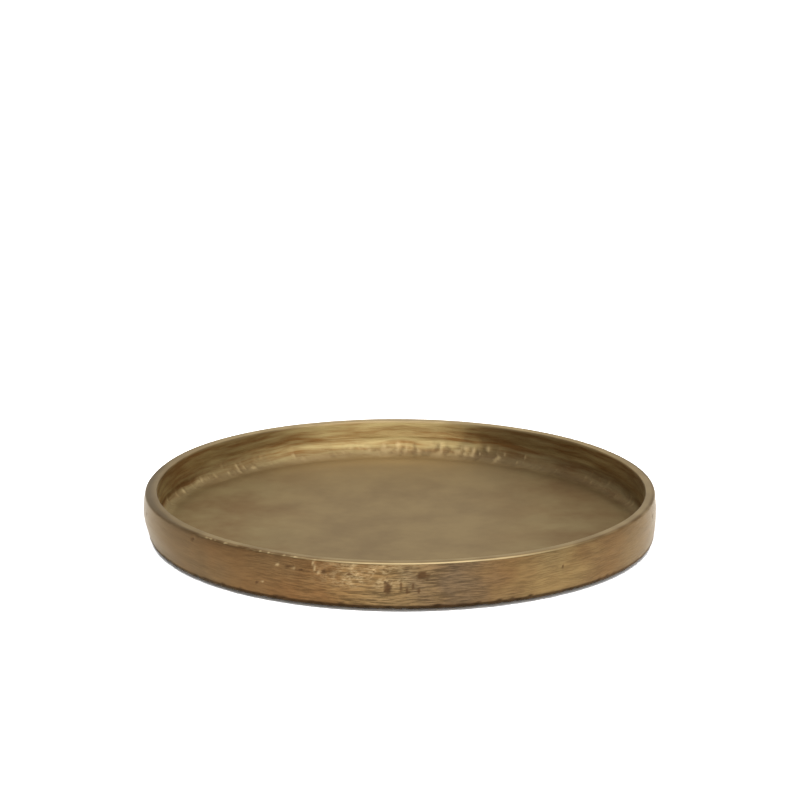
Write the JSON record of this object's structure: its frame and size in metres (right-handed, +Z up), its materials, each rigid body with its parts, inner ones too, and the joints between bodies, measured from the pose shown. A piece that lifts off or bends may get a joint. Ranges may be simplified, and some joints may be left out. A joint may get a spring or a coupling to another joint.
{
  "type": "paten plate",
  "caption": "Round cast-metal paten plate with a wide flat floor, a low upright wall and felt pads underneath; holds bread, wafers, vessels or candles on a table.",
  "frame": {"origin": "on the surface that the plate stands on, under the centre of the casting", "axes": "+Z up along the axis that the casting is round about; -Y is the side towards the viewer, +X is to the right"},
  "size_m": [0.3, 0.3, 0.029],
  "materials": {
    "antique_bronze": "antique bronze plating with a brown patina over sand-cast aluminium; wall linished, floor satin, inner corner left as cast",
    "felt": "dense pressed wool felt, dark brown",
    "adhesive": "thin acrylic adhesive film"
  },
  "bodies": {
    "root": {"plate_casting": "antique_bronze", "felt_pad_right_back": "felt", "felt_pad_left_back": "felt", "felt_pad_left_front": "felt", "felt_pad_right_front": "felt", "pad_adhesive_right_back": "adhesive", "pad_adhesive_left_back": "adhesive", "pad_adhesive_left_front": "adhesive", "pad_adhesive_right_front": "adhesive"}
  },
  "joints": []
}
